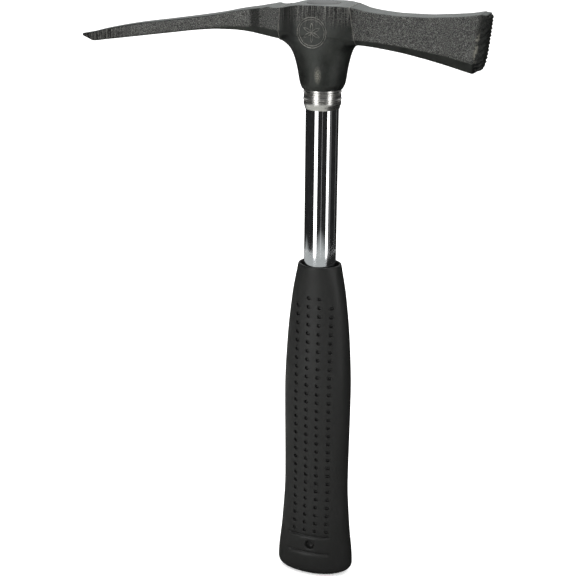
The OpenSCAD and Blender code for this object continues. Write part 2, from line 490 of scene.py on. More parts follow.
# %% Sections of the pick and the poll
# Each row: x, drop of the top below the head's top, drop of the bottom, half thickness,
# top chamfer, bottom chamfer
PICK_ROWS = [
    (PICK_TIP_X, 21.9, 23.1, 0.9, 0.2, 0.2),
    (PICK_TIP_X + 6.2, 20.7, 25.2, 2.4, 0.5, 0.4),
    (PICK_TIP_X + 14, 18.6, 24.1, 3.1, 0.6, 0.5),
    (-98, 14.9, 21.4, 3.9, 0.6, 0.7),
    (-80, 12.1, 18.6, 4.7, 0.6, 0.8),
    (-62, 9.2, 15.9, 5.7, 0.6, 1.0),
    (-52, 7.4, 15.0, 6.5, 0.6, 1.6),
    (-44, 5.6, 14.9, 6.9, 0.5, 2.2),
    (-35.6, 4.1, 15.6, 7.1, 0.4, 3.3),
    (-34.8, 4.0, 15.7, 7.3, 0.4, 3.4),
    (-29.8, 3.1, 16.3, 9.2, 0.3, 4.2),
    (-29.0, 3.0, 16.4, 9.4, 0.3, 4.3),
    (-24.6, 2.2, 17.2, 9.5, 0.2, 4.6),
    (-23.2, 2.7, 17.4, 9.5, 0.2, 4.6),
    (-18.6, 2.3, 18.2, 9.8, 0.2, 4.8),
    (-14, 1.2, 19.0, 11.1, 0.2, 5.0),
    (-10.5, 0.5, 19.4, 12.1, 0.2, 5.0),
    (-9, 0.3, 19.6, 12.2, 0.2, 5.0),
    (0, 0.05, 19.6, 12.2, 0.2, 5.0),
]
POLL_FRONT_X = 75.6
POLL_HALF = 7.1
POLL_LEAN = 0.1
POLL_MID_DROP = 15.0
POLL_ROWS = [
    (0, 0.05, 19.6, 12.2, 0.2, 5.0),
    (6, 0.05, 19.4, 12.2, 0.2, 4.6),
    (11, 0.2, 19.0, 11.5, 0.2, 3.8),
    (16, 0.7, 18.8, 9.5, 0.2, 2.9),
    (18, 1.2, 18.8, 8.8, 0.2, 2.9),
    (22, 2.2, 19.1, 7.5, 0.2, 3.0),
    (30, 3.2, 20.1, 6.7, 0.2, 3.4),
    (40, 3.8, 21.6, 6.5, 0.2, 3.8),
    (50, 3.8, 23.6, 6.6, 0.2, 4.4),
    (60, 3.2, 25.9, 6.8, 0.2, 5.2),
    (70, 2.2, 28.3, 7.0, 0.2, 5.6),
    (POLL_FRONT_X, 1.1, 29.5, POLL_HALF, 0.2, 5.6),
]
CHAMFER_SLANT = 0.75
ROW_STEP = 1.0


def arm_section(x, sizes, lean=0.0):
    """The eight corners of an arm's section, clockwise seen from the poll's end."""
    top_drop, foot_drop, half, top_cut, foot_cut = sizes
    top, foot = HEAD_TOP - top_drop, HEAD_TOP - foot_drop
    foot_half = max(0.5, half - CHAMFER_SLANT * foot_cut)
    side = [(half - top_cut, top), (half, top - top_cut), (half, foot + foot_cut), (foot_half, foot)]
    corners = side + [(-y, z) for y, z in reversed(side)]
    middle = HEAD_TOP - POLL_MID_DROP
    return [mm(x + lean * (z - middle), y, z) for y, z in corners]


def even_steps(low, high, step):
    count = max(1, round((high - low) / step))
    return [low + (high - low) * i / count for i in range(count + 1)]


def make_pick(shape):
    sizes_at = smooth_between(PICK_ROWS)
    xs = [PICK_ROWS[0][0]] + even_steps(PICK_ROWS[1][0], PICK_ROWS[-1][0], ROW_STEP)
    skin_sections(shape, [arm_section(x, sizes_at(x)) for x in xs])


print("pick from", len(PICK_ROWS), "rows, poll from", len(POLL_ROWS), "rows")


# %% [markdown]
# The striking face is crowned, chamfered round its rim and cut with two sets of diagonal grooves,
# which leave rows of small pyramids. The crown comes first: the poll's last sections are pushed
# outwards while they shrink towards the middle. The grooves come from a displacement of the fused
# face, where each point sinks by how near it lies to a groove's centre line. One set is deeper than
# the other. Modelled pyramids would look the same and take far longer to place.

# %% The poll and its crowned end
# Each row: push outwards, inset of the sides, of the top and of the foot
END_ROWS = [
    (1.3, 0.7, 0.0, 0.6),
    (3.8, 1.1, 0.2, 1.6),
    (5.0, 2.2, 1.4, 3.0),
    (5.5, 3.8, 4.0, 5.6),
    (5.6, 5.6, 7.0, 9.0),
]


def end_section(push, side_in, top_in, foot_in):
    """The poll's end section, inset all round and pushed outwards."""
    x, top_drop, foot_drop, half, top_cut, foot_cut = POLL_ROWS[-1]
    smaller_cut = max(0.4, foot_cut - 0.6 * side_in)
    sizes = (top_drop + top_in, foot_drop - foot_in, half - side_in, top_cut, smaller_cut)
    return arm_section(x + push, sizes, POLL_LEAN)


def make_poll(shape):
    sizes_at = smooth_between(POLL_ROWS)
    sections = []
    for x in even_steps(0, POLL_FRONT_X, ROW_STEP):
        lean = POLL_LEAN * max(0.0, (x - 60) / (POLL_FRONT_X - 60))
        sections.append(arm_section(x, sizes_at(x), lean))
    skin_sections(shape, sections + [end_section(*row) for row in END_ROWS])


print("the crown stands", END_ROWS[-1][0], "mm proud of the poll's last section")


# %% [markdown]
# The eye and neck are a lofted tower of round-cornered sections: a circle where it meets the ring,
# a wide rounded block at the top. A superellipse gives every shape between the two with one number.

# %% The eye and neck
# Each row: z, reach to the pick's side, reach to the poll's side, half depth, squareness
EYE_ROWS = [
    (NECK_FOOT, 10.2, 10.0, 10.0, 2.0),
    (NECK_FOOT + 2.6, 11.2, 11.2, 11.2, 2.0),
    (278.6, 12.8, 12.5, 11.9, 2.0),
    (284.3, 14.6, 13.8, 12.1, 2.0),
    (288.0, 16.6, 15.1, 12.2, 2.1),
    (290.6, 19.6, 17.0, 12.2, 2.3),
    (292.4, 22.4, 18.0, 12.2, 2.5),
    (294.0, 22.4, 18.0, 12.1, 2.5),
    (300.0, 19.0, 16.0, 11.9, 2.5),
    (HEAD_TOP - 3.0, 18.4, 15.4, 11.2, 2.5),
]
EYE_POINTS = 72


def signed_power(value, power):
    return (1 if value >= 0 else -1) * abs(value) ** power


def eye_section(z, sizes):
    left, right, half, square = sizes
    points = []
    for i in range(EYE_POINTS):
        a = -2 * pi * i / EYE_POINTS
        reach = left if cos(a) < 0 else right
        points.append(
            mm(reach * signed_power(cos(a), 2 / square), half * signed_power(sin(a), 2 / square), z)
        )
    return points


def make_eye(shape):
    sizes_at = smooth_between(EYE_ROWS)
    foot = EYE_ROWS[1][0]
    zs = [NECK_FOOT] + even_steps(foot, EYE_ROWS[-1][0], 1.0)
    skin_sections(shape, [eye_section(z, sizes_at(z)) for z in zs])


print("eye and neck from", len(EYE_ROWS), "rows of", EYE_POINTS, "points")


# %% Fuse the three stretches into one forging
VOXEL = mm(0.42)
SMOOTH_ROUNDS = 2


def fuse_head(material):
    shape = bmesh.new()
    make_pick(shape)
    make_poll(shape)
    make_eye(shape)
    head = finish_piece("head_forging", shape, material)
    remesh = head.modifiers.new("fuse", "REMESH")
    remesh.mode = "VOXEL"
    remesh.voxel_size = VOXEL
    remesh.use_smooth_shade = True
    apply_modifiers(head)
    return head


TOOTH_PITCH = 2.45
CROSS_SHARE = 0.45
TOOTH_DEPTH = 1.9
TOOTH_CENTRE_Y = 4.5
TOOTH_START_X = POLL_FRONT_X + 0.9
TOOTH_FADE = 1.0


def cut_teeth(shape):
    """Sinks the striking face along two sets of diagonal grooves."""
    middle = HEAD_TOP - POLL_MID_DROP
    for vert in shape.verts:
        x, y, z = (in_mm(v) for v in vert.co)
        beyond = x - TOOTH_START_X - POLL_LEAN * (z - middle)
        if beyond <= 0:
            continue
        y -= TOOTH_CENTRE_Y
        sunk = 0.0
        for across, share in ((y - z, 1.0), (y + z, CROSS_SHARE)):
            phase = across / sqrt(2) / TOOTH_PITCH
            sunk = max(sunk, share * (1 - 2 * abs(phase - round(phase))))
        vert.co.x -= mm(TOOTH_DEPTH * sunk * min(1.0, beyond / TOOTH_FADE))


def dress_head(head):
    """Softens the remesh's steps, then cuts the teeth."""
    shape = bmesh.new()
    shape.from_mesh(head.data)
    for _ in range(SMOOTH_ROUNDS):
        bmesh.ops.smooth_vert(
            shape, verts=shape.verts, factor=0.5, use_axis_x=True, use_axis_y=True, use_axis_z=True
        )
    cut_teeth(shape)
    shape.to_mesh(head.data)
    shape.free()
    for polygon in head.data.polygons:
        polygon.use_smooth = True


print("voxel", round(in_mm(VOXEL), 2), "mm, tooth pitch", TOOTH_PITCH, "mm")


# %% [markdown]
# The steel is dark, shot-blasted and thinly lacquered. Blasting leaves a grain of fine pits on the
# arms, the cheeks are ground with upright strokes, and the neck is smoother. One noise makes the
# grain, a stretched one makes the grinding strokes, and the object's own x and z decide
# where each shows.

# %% Where each finish shows on the forging
BAND_REACH = 150.0
EYE_ZONE = (-19.2, 16.4)
TIP_ZONE = (-140.0, -112.0)
# x bands of painted shade: the facet before the eye and the pocket beside it
SHADED_FACET = (-34.6, -30.2)
SHADED_POCKET = (-18.8, -11.0)
FACE_ZONE = (POLL_FRONT_X + 0.7, POLL_FRONT_X + 10)
EDGE_ZONE = (POLL_FRONT_X + 0.35, POLL_FRONT_X + 0.55)


def band(material, value, zone, soft):
    """1 inside a zone along an axis in millimetres, fading to 0 over a soft edge."""
    def place(x):
        return (x + BAND_REACH) / (2 * BAND_REACH)

    start, end = zone
    raised = calc(material, "ADD", value, mm(BAND_REACH))
    scaled = calc(material, "MULTIPLY", raised, in_mm(1) / (2 * BAND_REACH))
    stops = [(place(start - soft), 0.0), (place(start), 1.0), (place(end), 1.0), (place(end + soft), 0.0)]
    return ramp(material, scaled, stops)


def without(material, mask, other):
    """A mask with another one taken out of it."""
    return calc(material, "MULTIPLY", mask, calc(material, "SUBTRACT", 1.0, other))


def steel_zones(material, along, height):
    """Masks for the arms' sides, for whatever faces up, and for the upper part of the cheeks."""
    surface = add_node(material, "ShaderNodeNewGeometry")
    _, across, upward = axes_of(material, surface.outputs["Normal"])
    on_side = ramp(material, calc(material, "ABSOLUTE", across, 0), [(0.80, 0.0), (0.9, 1.0)])
    on_arm = without(material, on_side, band(material, along, EYE_ZONE, 0.6))
    # the upward mask carries painted light from above
    on_top = ramp(material, upward, [(0.7, 0.0), (0.85, 1.0)])
    up = calc(material, "MULTIPLY", calc(material, "SUBTRACT", height, mm(HEAD_TOP - 30)), 33.0)
    return on_arm, on_top, ramp(material, up, [(0.62, 0.0), (0.8, 1.0)])


print("finish zones along x", EYE_ZONE, TIP_ZONE, SHADED_FACET, SHADED_POCKET)


# %% [markdown]
# Each finish is a ramp of greys over one of the noises. The ramps are mixed by the masks, so that
# one material dresses the whole forging without a seam. The striking face is darker, and painted
# shade darkens the facet before the eye and the pocket beside it, which turn away from the light.
# Faces that point up get a lighter tone, painted light from above.

# %% Tones of the forged steel
# painted shade for the facet and the pocket, then the striking face's darker tone
PAINTED_SHADE_TONE = (0.05, 0.052, 0.05)
FACE_TONE = (0.035, 0.037, 0.035)


def sum_of(material, first, share, second):
    """Two outputs added, the first by its share and the second by the rest."""
    rest = calc(material, "MULTIPLY", second, 1 - share)
    return calc(material, "ADD", calc(material, "MULTIPLY", first, share), rest)


def forged_tone(material, here, grain, patches, strokes, masks, near_tip):
    on_arm, on_top, high_up = masks
    fine = noise(material, here, 3800.0, 2.0, 0.6)
    blasted = ramp(
        material, sum_of(material, grain, 0.6, fine),
        [(0.38, (0.045, 0.046, 0.044)), (0.52, (0.15, 0.152, 0.146)), (0.64, (0.42, 0.42, 0.4))],
    )
    ground = ramp(
        material, sum_of(material, strokes, 0.55, grain),
        [(0.41, (0.02, 0.02, 0.02)), (0.5, (0.09, 0.09, 0.087)), (0.6, (0.32, 0.32, 0.3))],
    )
    plain = ramp(material, patches, [(0.3, (0.06, 0.064, 0.06)), (0.7, (0.105, 0.11, 0.103))])
    # Faces that point up get this lighter tone: painted light from above.
    lit_top_tone = ramp(material, patches, [(0.3, (0.13, 0.141, 0.136)), (0.7, (0.162, 0.175, 0.169))])
    cheek = mix(material, high_up, plain, ground)
    arm = mix(material, near_tip, blasted, ground)
    return mix(material, on_top, mix(material, on_arm, cheek, arm), lit_top_tone)


def dark_face_and_painted_shade(material, tone, along, edge_place, on_top):
    """The same tone, darker on the striking face, with painted shade in the facet and in the pocket."""
    on_face = without(material, band(material, edge_place, FACE_ZONE, 0.3), on_top)
    covered = calc(material, "MULTIPLY", on_face, 0.85)
    tone = mix(material, covered, tone, flat_colour(material, FACE_TONE))
    # Painted shade: the facet, the pocket and a faint band between them turn away from the light.
    dark = calc(
        material, "ADD", band(material, along, SHADED_FACET, 1.2), band(material, along, SHADED_POCKET, 0.8)
    )
    between = (SHADED_FACET[1], SHADED_POCKET[0])
    faint = calc(material, "MULTIPLY", band(material, along, between, 0.5), 0.35)
    dark = calc(material, "MAXIMUM", dark, faint)
    dark = calc(material, "MULTIPLY", without(material, dark, on_top), 0.7)
    return mix(material, dark, tone, flat_colour(material, PAINTED_SHADE_TONE))


print("scale tones", PAINTED_SHADE_TONE, FACE_TONE)


# %% Bright marks, and the steel put together
CHIP_ZONE = (HEAD_TOP - 22.5, HEAD_TOP - 9.5)
CHIP_REACH = 2 * HEAD_TOP
BRIGHT_TONE = (0.5, 0.485, 0.42)
# a painted highlight low on the neck, where it would mirror a light
HIGHLIGHT_SPOT = (0.9, -11.5, 276.5)
HIGHLIGHT_R = 2.0
HIGHLIGHT_SQUASH = 0.4


def chips_and_painted_highlight(material, tone, here, grain, height, edge_place):
    """Adds flaked chips along the poll's edge, and one painted highlight low on the neck."""
    low, high = CHIP_ZONE
    in_zone = ramp(
        material, calc(material, "MULTIPLY", height, in_mm(1) / CHIP_REACH),
        [(low / CHIP_REACH, 0.0), ((low + 1) / CHIP_REACH, 1.0),
         ((high - 1) / CHIP_REACH, 1.0), (high / CHIP_REACH, 0.0)],
    )
    on_edge = calc(material, "MULTIPLY", band(material, edge_place, EDGE_ZONE, 0.18), in_zone)
    flaky = ramp(material, noise(material, here, 420.0, 2.0), [(0.47, 0.0), (0.56, 1.0)])
    chips = calc(material, "MULTIPLY", on_edge, flaky)
    # The bright spot on the neck is a painted highlight.
    offset = add_node(material, "ShaderNodeVectorMath", operation="DISTANCE")
    wire(material, object_coords(material, (1, 1, HIGHLIGHT_SQUASH)), offset.inputs[0])
    offset.inputs[1].default_value = mm(HIGHLIGHT_SPOT[0], HIGHLIGHT_SPOT[1], HIGHLIGHT_SPOT[2] * HIGHLIGHT_SQUASH)
    away = calc(material, "MULTIPLY", offset.outputs["Value"], 100.0)
    close = ramp(material, away, [(0.0, 1.0), (HIGHLIGHT_R / 10, 0.0)])
    painted_highlight = calc(material, "MULTIPLY", close, ramp(material, grain, [(0.38, 0.1), (0.58, 0.9)]))
    marks = calc(material, "MAXIMUM", chips, painted_highlight)
    return mix(material, marks, tone, flat_colour(material, BRIGHT_TONE))


def forged_steel():
    material, shader = new_material("forged_steel", (0.11, 0.112, 0.108), 1.0, 0.5)
    here = object_coords(material)
    along, _, height = axes_of(material, here)
    grain = noise(material, here, 1900.0, 3.0, 0.75)
    patches = noise(material, here, 150.0, 4.0, 0.65)
    strokes = noise(material, object_coords(material, (2300, 2300, 60)), 1.0, 3.0, 0.6)
    masks = steel_zones(material, along, height)
    on_arm, on_top, high_up = masks
    near_tip = band(material, along, TIP_ZONE, 14.0)
    tone = forged_tone(material, here, grain, patches, strokes, masks, near_tip)
    above_middle = calc(material, "SUBTRACT", height, mm(HEAD_TOP - POLL_MID_DROP))
    edge_place = calc(
        material, "SUBTRACT", along, calc(material, "MULTIPLY", above_middle, POLL_LEAN)
    )
    tone = dark_face_and_painted_shade(material, tone, along, edge_place, on_top)
    tone = chips_and_painted_highlight(material, tone, here, grain, height, edge_place)
    wire(material, tone, shader.inputs["Base Color"])
    wire(material, ramp(material, patches, [(0.3, 0.5), (0.7, 0.62)]), shader.inputs["Roughness"])
    relief = mix(material, on_arm, mix(material, high_up, patches, strokes), grain)
    bump(material, shader, relief, 0.6, mm(0.3))
    return material


STEEL = forged_steel()
head = fuse_head(STEEL)
dress_head(head)
print("head", len(head.data.polygons), "faces")


# %% [markdown]
# ## The eye's bore
#
# The tube runs right through the head and is swollen tight by the plug in its top. A boolean
# takes a true round hole out of the forging, so that the tube's end and the plug show as rings in
# the head's top.

# %% Bore the eye
def bore_head(head):
    cutter_shape = bmesh.new()
    centre = Matrix.Translation(mm(0, 0, (NECK_FOOT + HEAD_TOP) / 2))
    bmesh.ops.create_cone(
        cutter_shape, cap_ends=True, segments=96, radius1=mm(TUBE_R), radius2=mm(TUBE_R),
        depth=mm(HEAD_TOP - NECK_FOOT + 20), matrix=centre,
    )
    mesh = bpy.data.meshes.new("bore_cutter")
    cutter_shape.to_mesh(mesh)
    cutter_shape.free()
    cutter = bpy.data.objects.new("bore_cutter", mesh)
    bpy.context.scene.collection.objects.link(cutter)
    bpy.context.view_layer.update()
    cut = head.modifiers.new("bore", "BOOLEAN")
    cut.operation = "DIFFERENCE"
    cut.object = cutter
    cut.solver = "EXACT"
    apply_modifiers(head)
    bpy.data.objects.remove(cutter)


bore_head(head)
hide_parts("head")
print("bored head", len(head.data.polygons), "faces")


# %% [markdown]
# ## The raised forging lines
#
# Where the dies' inserts met, a fine raised line runs round the head on each side of the eye.
# Its path is the head's own outline in a slanted plane, so a copy of the head is cut with
# `bisect_plane` and the cut's edges, walked in order, become a thin round bead. Drawing the
# line by hand would leave it floating over or sunk into the forging.

# %% Beads that lie on the forging
def worn_steel():
    material, shader = new_material("worn_steel", (0.26, 0.255, 0.245), 1.0, 0.42)
    wear = noise(material, object_coords(material), 600.0)
    tone = ramp(material, wear, [(0.35, (0.17, 0.17, 0.16)), (0.65, (0.4, 0.39, 0.36))])
    wire(material, tone, shader.inputs["Base Color"])
    bump(material, shader, wear, 0.2, mm(0.1))
    return material


WORN = worn_steel()


def make_bead(name, points, radius, closed=True):
    """A thin round bead along points."""
    curve = bpy.data.curves.new(name + "_path", "CURVE")
    curve.dimensions = "3D"
    curve.bevel_depth = radius
    curve.bevel_resolution = 1
    spline = curve.splines.new("POLY")
    spline.points.add(len(points) - 1)
    for spot, point in zip(spline.points, points):
        spot.co = (*point, 1)
    spline.use_cyclic_u = closed
    drawn = bpy.data.objects.new(name + "_path", curve)
    bpy.context.scene.collection.objects.link(drawn)
    depsgraph = bpy.context.evaluated_depsgraph_get()
    shape = bmesh.new()
    shape.from_mesh(drawn.evaluated_get(depsgraph).to_mesh())
    bpy.data.objects.remove(drawn)
    bpy.data.curves.remove(curve)
    bmesh.ops.recalc_face_normals(shape, faces=shape.faces)
    bead = finish_piece(name, shape, WORN)
    return bead


def longest_loop(edges):
    """Walks cut edges and returns the points of the longest loop."""
    left = set(edges)
    best = []
    while left:
        edge = left.pop()
        walk = [edge.verts[0], edge.verts[1]]
        while True:
            step = next((e for e in walk[-1].link_edges if e in left), None)
            if step is None:
                break
            left.discard(step)
            walk.append(step.other_vert(walk[-1]))
        if len(walk) > len(best):
            best = walk
    return [vert.co.copy() for vert in best]


LINE_R = mm(0.26)
POINTS_SKIPPED = 3
FORGING_LINES = {
    "forging_line_pick_side": (-19.6, 303.0, -0.07),
    "forging_line_poll_side": (16.4, 303.0, 0.16),
}
for name, (x, z, slant) in FORGING_LINES.items():
    shape = bmesh.new()
    shape.from_mesh(head.data)
    cut = bmesh.ops.bisect_plane(
        shape, geom=shape.verts[:] + shape.edges[:] + shape.faces[:], plane_co=mm(x, 0, z),
        plane_no=Vector((1, 0, slant)).normalized(),
    )["geom_cut"]
    outline = longest_loop([g for g in cut if isinstance(g, bmesh.types.BMEdge)])
    shape.free()
    bead = make_bead(name, outline[::POINTS_SKIPPED], LINE_R)
    print(name, len(outline), "outline points")


# %% [markdown]
# ## The cheek's round mark
#
# A coin-sized mark is struck into the cheek: two fine raised circles round a small figure. Here
# the figure is a plain six-petalled rosette, drawn with the compass arcs every workshop
# apprentice learns. Each line is found on the curved cheek by shooting rays at it from the front.

# %% Circles and rosette on the cheek
head_tree_shape = bmesh.new()
head_tree_shape.from_mesh(head.data)
head_tree = BVHTree.FromBMesh(head_tree_shape)
MARK_X = -2.2
MARK_Z = HEAD_TOP - 13.0
MARK_R = 7.25
MARK_INNER_R = 6.25
ROSETTE_R = 4.6
PETALS = 6


def on_cheek(x, z):
    """The point of the front cheek behind (x, z)."""
    return head_tree.ray_cast(mm(x, -60, z), Vector((0, 1, 0)))[0]


def ring_on_cheek(radius, count=96):
    spots = [(radius * cos(2 * pi * i / count), radius * sin(2 * pi * i / count)) for i in range(count)]
    return [on_cheek(MARK_X + u, MARK_Z + v) for u, v in spots]


def petal_arc(centre_angle, count=16):
    """A compass arc through the rosette's middle, centred on its rim."""
    cx, cz = ROSETTE_R * cos(centre_angle), ROSETTE_R * sin(centre_angle)
    start = centre_angle + pi - pi / 3
    angles = [start + (2 * pi / 3) * i / count for i in range(count + 1)]
    return [on_cheek(MARK_X + cx + ROSETTE_R * cos(a), MARK_Z + cz + ROSETTE_R * sin(a)) for a in angles]


make_bead("mark_outer_circle", ring_on_cheek(MARK_R), mm(0.24))
make_bead("mark_inner_circle", ring_on_cheek(MARK_INNER_R), mm(0.18))
for i in range(PETALS):
    make_bead("mark_petal_" + str(i + 1), petal_arc(2 * pi * i / PETALS + pi / 2), mm(0.17), closed=False)
head_tree_shape.free()
print("mark", PETALS, "petals at height", round(MARK_Z, 1))


# %% [markdown]
# ## The handle's tube, ring and plug
#
# The ring and the plug are turned parts, so each is a profile spun round the handle's axis. The
# ring keeps the fine marks of the turning tool, and the plug wears the head top's ground finish over a
# low dome as tall as the CAD plug's. The tube is chromed and mirrors the room. It is skinned like the
# forging, because inside the grip it is swaged flat, which a spin can't give. Two extra rings above the
# swage keep its shading straight.

# %% Turned parts
def spin_profile(name, profile, material, steps=128):
    """Spins a closed profile of (radius, height) points round the handle's axis."""
    shape = bmesh.new()
    verts = [shape.verts.new(mm(r, 0, z)) for r, z in profile]
    edges = [shape.edges.new((verts[i], verts[(i + 1) % len(verts)])) for i in range(len(verts))]
    bmesh.ops.spin(
        shape, geom=verts + edges, cent=(0, 0, 0), axis=(0, 0, 1), angle=2 * pi, steps=steps, use_merge=True
    )
    bmesh.ops.remove_doubles(shape, verts=shape.verts, dist=mm(0.001))
    bmesh.ops.recalc_face_normals(shape, faces=shape.faces)
    return finish_piece(name, shape, material)


def shade_by_angle(piece, limit=30):
    """Smooth shading with sharp edges above a limit."""
    shape = bmesh.new()
    shape.from_mesh(piece.data)
    for edge in shape.edges:
        edge.smooth = edge.calc_face_angle(0) < radians(limit)
    shape.to_mesh(piece.data)
    shape.free()


def chrome():
    material, shader = new_material("chrome", (0.82, 0.83, 0.84), 1.0, 0.05)
    haze = noise(material, object_coords(material), 45.0)
    wire(material, ramp(material, haze, [(0.4, 0.035), (0.7, 0.075)]), shader.inputs["Roughness"])
    return material


TUBE_FOOT = in_mm(tube_low.z)
TUBE_WALL = TUBE_R - TUBE_BORE_R
END_BEVEL = 0.3
FLAT_HALF_DEPTH = in_mm(end_plug_high.y)
SWAGE_TOP = GRIP_TOP - 7
SWAGE_FOOT = GRIP_TOP - 21
TUBE_POINTS = 96


def tube_section(z, shrink):
    """The tube's outline at a height: round above, flattened by the swage inside the grip."""
    flat = min(1.0, max(0.0, (SWAGE_TOP - z) / (SWAGE_TOP - SWAGE_FOOT)))
    flat = flat * flat * (3 - 2 * flat)
    half_depth = TUBE_R + (FLAT_HALF_DEPTH - TUBE_R) * flat
    half_straight = pi * (TUBE_R - half_depth) / 2
    r = half_depth - shrink
    points = []
    for i in range(TUBE_POINTS):
        a = 2 * pi * (i + 0.5) / TUBE_POINTS
        side = 1 if cos(a) > 0 else -1
        points.append(mm(side * half_straight + r * cos(a), r * sin(a), z))
    return points


def make_tube(material):
    shape = bmesh.new()
    levels = [TUBE_FOOT] + even_steps(SWAGE_FOOT, SWAGE_TOP, 2.0) + [SWAGE_TOP + 1, SWAGE_TOP + 2]
    outer = [tube_section(z, 0) for z in levels + [HEAD_TOP - END_BEVEL]]
    ends = [tube_section(HEAD_TOP, END_BEVEL), tube_section(HEAD_TOP, TUBE_WALL)]
    inner = [tube_section(z, TUBE_WALL) for z in reversed(levels)]
    skin_sections(shape, outer + ends + inner, closed_ring=True)
    return finish_piece("handle_tube_chromed", shape, material)


tube = make_tube(chrome())
shade_by_angle(tube)


def ground_steel():
    """Dark steel with grinding strokes, as the head's top is dressed flush."""
    material, shader = new_material("ground_steel", (0.085, 0.09, 0.088), 1.0, 0.5)
    strokes = noise(material, object_coords(material, (300, 4200, 300)), 1.0)
    wire(material, ramp(material, strokes, [(0.3, 0.48), (0.7, 0.62)]), shader.inputs["Roughness"])
    bump(material, shader, strokes, 0.3, mm(0.08))
    return material


GROUND = ground_steel()
tube.data.materials.append(GROUND)
for polygon in tube.data.polygons:
    if polygon.center.z > mm(HEAD_TOP - 2 * END_BEVEL):
        polygon.material_index = 1
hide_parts("handle_tube")


def turned_steel():
    """Bright steel with fine rings from the turning tool."""
    material, shader = new_material("turned_steel", (0.8, 0.79, 0.76), 1.0, 0.28)
    rings = noise(material, object_coords(material, (1, 1, 2600)), 1.0, 2.0)
    wire(material, ramp(material, rings, [(0.3, 0.22), (0.7, 0.34)]), shader.inputs["Roughness"])
    bump(material, shader, rings, 0.3, mm(0.06))
    return material


LIP_H = 2.2


def ring_profile():
    """Bands with two raised beads, and a lip that closes on the tube."""
    band_r = RING_R - 0.22
    points = [(TUBE_R + 0.02, NECK_FOOT), (band_r, NECK_FOOT)]
    for drop in (1.5, 5.0):
        z = NECK_FOOT - drop
        points += [
            (band_r, z + 0.5), (RING_R, z + 0.3), (RING_R, z - 0.1),
            (band_r - 0.45, z - 0.3), (band_r - 0.45, z - 0.65), (band_r, z - 0.8),
        ]
    points += [
        (band_r, RING_FOOT + LIP_H), (band_r - 0.25, RING_FOOT + LIP_H - 0.4), (TUBE_R + 0.35, RING_FOOT),
    ]
    return points + [(TUBE_R + 0.02, RING_FOOT)]


ring = spin_profile("collar_ring_turned", ring_profile(), turned_steel())
shade_by_angle(ring, 35)
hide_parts("collar_ring")


PLUG_DOME = in_mm(plug_high.z) - HEAD_TOP
PLUG_FOOT = in_mm(plug_low.z)
dome_steps = 8
plug_profile = [(0.0, PLUG_FOOT), (TUBE_BORE_R - 0.02, PLUG_FOOT), (TUBE_BORE_R - 0.02, HEAD_TOP - 0.2)]
for i in range(dome_steps + 1):
    r = (TUBE_BORE_R - 0.3) * (1 - i / dome_steps)
    plug_profile.append((r, HEAD_TOP + PLUG_DOME * (1 - (r / TUBE_BORE_R) ** 2)))
plug = spin_profile("expansion_plug_ground", plug_profile, GROUND, steps=96)
shade_by_angle(plug)
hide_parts("expansion_plug")
for turned in (tube, ring, plug):
    print(turned.name, [round(in_mm(v), 1) for v in turned.dimensions])


# %% [markdown]
# ## The grip
#
# The sleeve is a soft moulding with four columns of small round dimples on each face, two cut lines
# and a round recess near the butt. Its mesh is laid out for them: upright lines of points pass
# each side of every dimple column, and level rings pass above and below every dimple, so that each
# dimple owns one square face. That face is rounded to a circle, inset and pushed in. The butt's
# edge is rounded, and towards the poll's side it also lifts a little.

# %% Grip sizes
PALM_HALF_W = 18.0
PALM_HALF_D = 11.2
MOUTH_HALF_W = 11.2
MOUTH_HALF_D = 9.4
SWELL_Z = 108.0
WAIST_Z = 55.0
FINGER_Z = 161.0
BUTT_ROUND = 4.7
GRIP_SQUARE = 2.05
BUTT_LIFT = 1.9
LIFT_ZONE = 10.0

# height, half width, half depth
GRIP_ROWS = [
    (0.0, BUTT_HALF_W, PALM_HALF_D + 0.4),
    (8.5, BUTT_HALF_W - 0.2, PALM_HALF_D + 0.4),
    (28.0, BUTT_HALF_W - 2.1, PALM_HALF_D + 0.2),
    (WAIST_Z, PALM_HALF_W - 0.4, PALM_HALF_D - 0.9),
    (SWELL_Z, PALM_HALF_W, PALM_HALF_D),
    (134.5, 16.9, 10.3),
    (FINGER_Z, 14.3, 9.1),
    (GRIP_TOP, MOUTH_HALF_W, MOUTH_HALF_D),
]
grip_sizes = smooth_between(GRIP_ROWS)

DIMPLE_COLUMNS = (-9.03, -2.93, 2.93, 9.03)
DIMPLE_PITCH = 4.755
DIMPLE_ROWS = 29
DIMPLE_TOP_Z = 161.1
DIMPLE_CELL = 1.27
DIMPLE_R = 1.14
DIMPLE_DEPTH = 1.3
column_lines = sorted(c + side * DIMPLE_CELL for c in DIMPLE_COLUMNS for side in (-1, 1))
dimple_heights = [DIMPLE_TOP_Z - DIMPLE_PITCH * k for k in range(DIMPLE_ROWS)]
SIDE_POINTS = 7


def grip_ring(z):
    """A ring of the grip at a height: fixed lines on the faces, then points round each side."""
    half_w, half_d = grip_sizes(z)
    inset = 0.0 if z >= BUTT_ROUND else BUTT_ROUND - sqrt(BUTT_ROUND**2 - (BUTT_ROUND - z) ** 2)
    half_w, half_d = half_w - inset, half_d - inset
    edge = column_lines[-1]

    def depth(x):
        return half_d * (1 - min(1.0, abs(x) / half_w) ** GRIP_SQUARE) ** (1 / GRIP_SQUARE)

    front = [(x, -depth(x)) for x in column_lines]
    start = atan2(depth(edge) / half_d, edge / half_w)
    side = []
    for i in range(1, 2 * SIDE_POINTS + 2):
        a = -start + 2 * start * i / (2 * SIDE_POINTS + 2)
        power = 2 / GRIP_SQUARE
        side.append((half_w * signed_power(cos(a), power), half_d * signed_power(sin(a), power)))
    back = [(x, depth(x)) for x in reversed(column_lines)]
    ring = front + side + back + [(-x, -y) for x, y in side]
    lift = BUTT_LIFT * max(0.0, 1 - z / LIFT_ZONE)
    return [mm(x, y, z + lift * max(0.0, x / BUTT_HALF_W) ** 2) for x, y in ring]


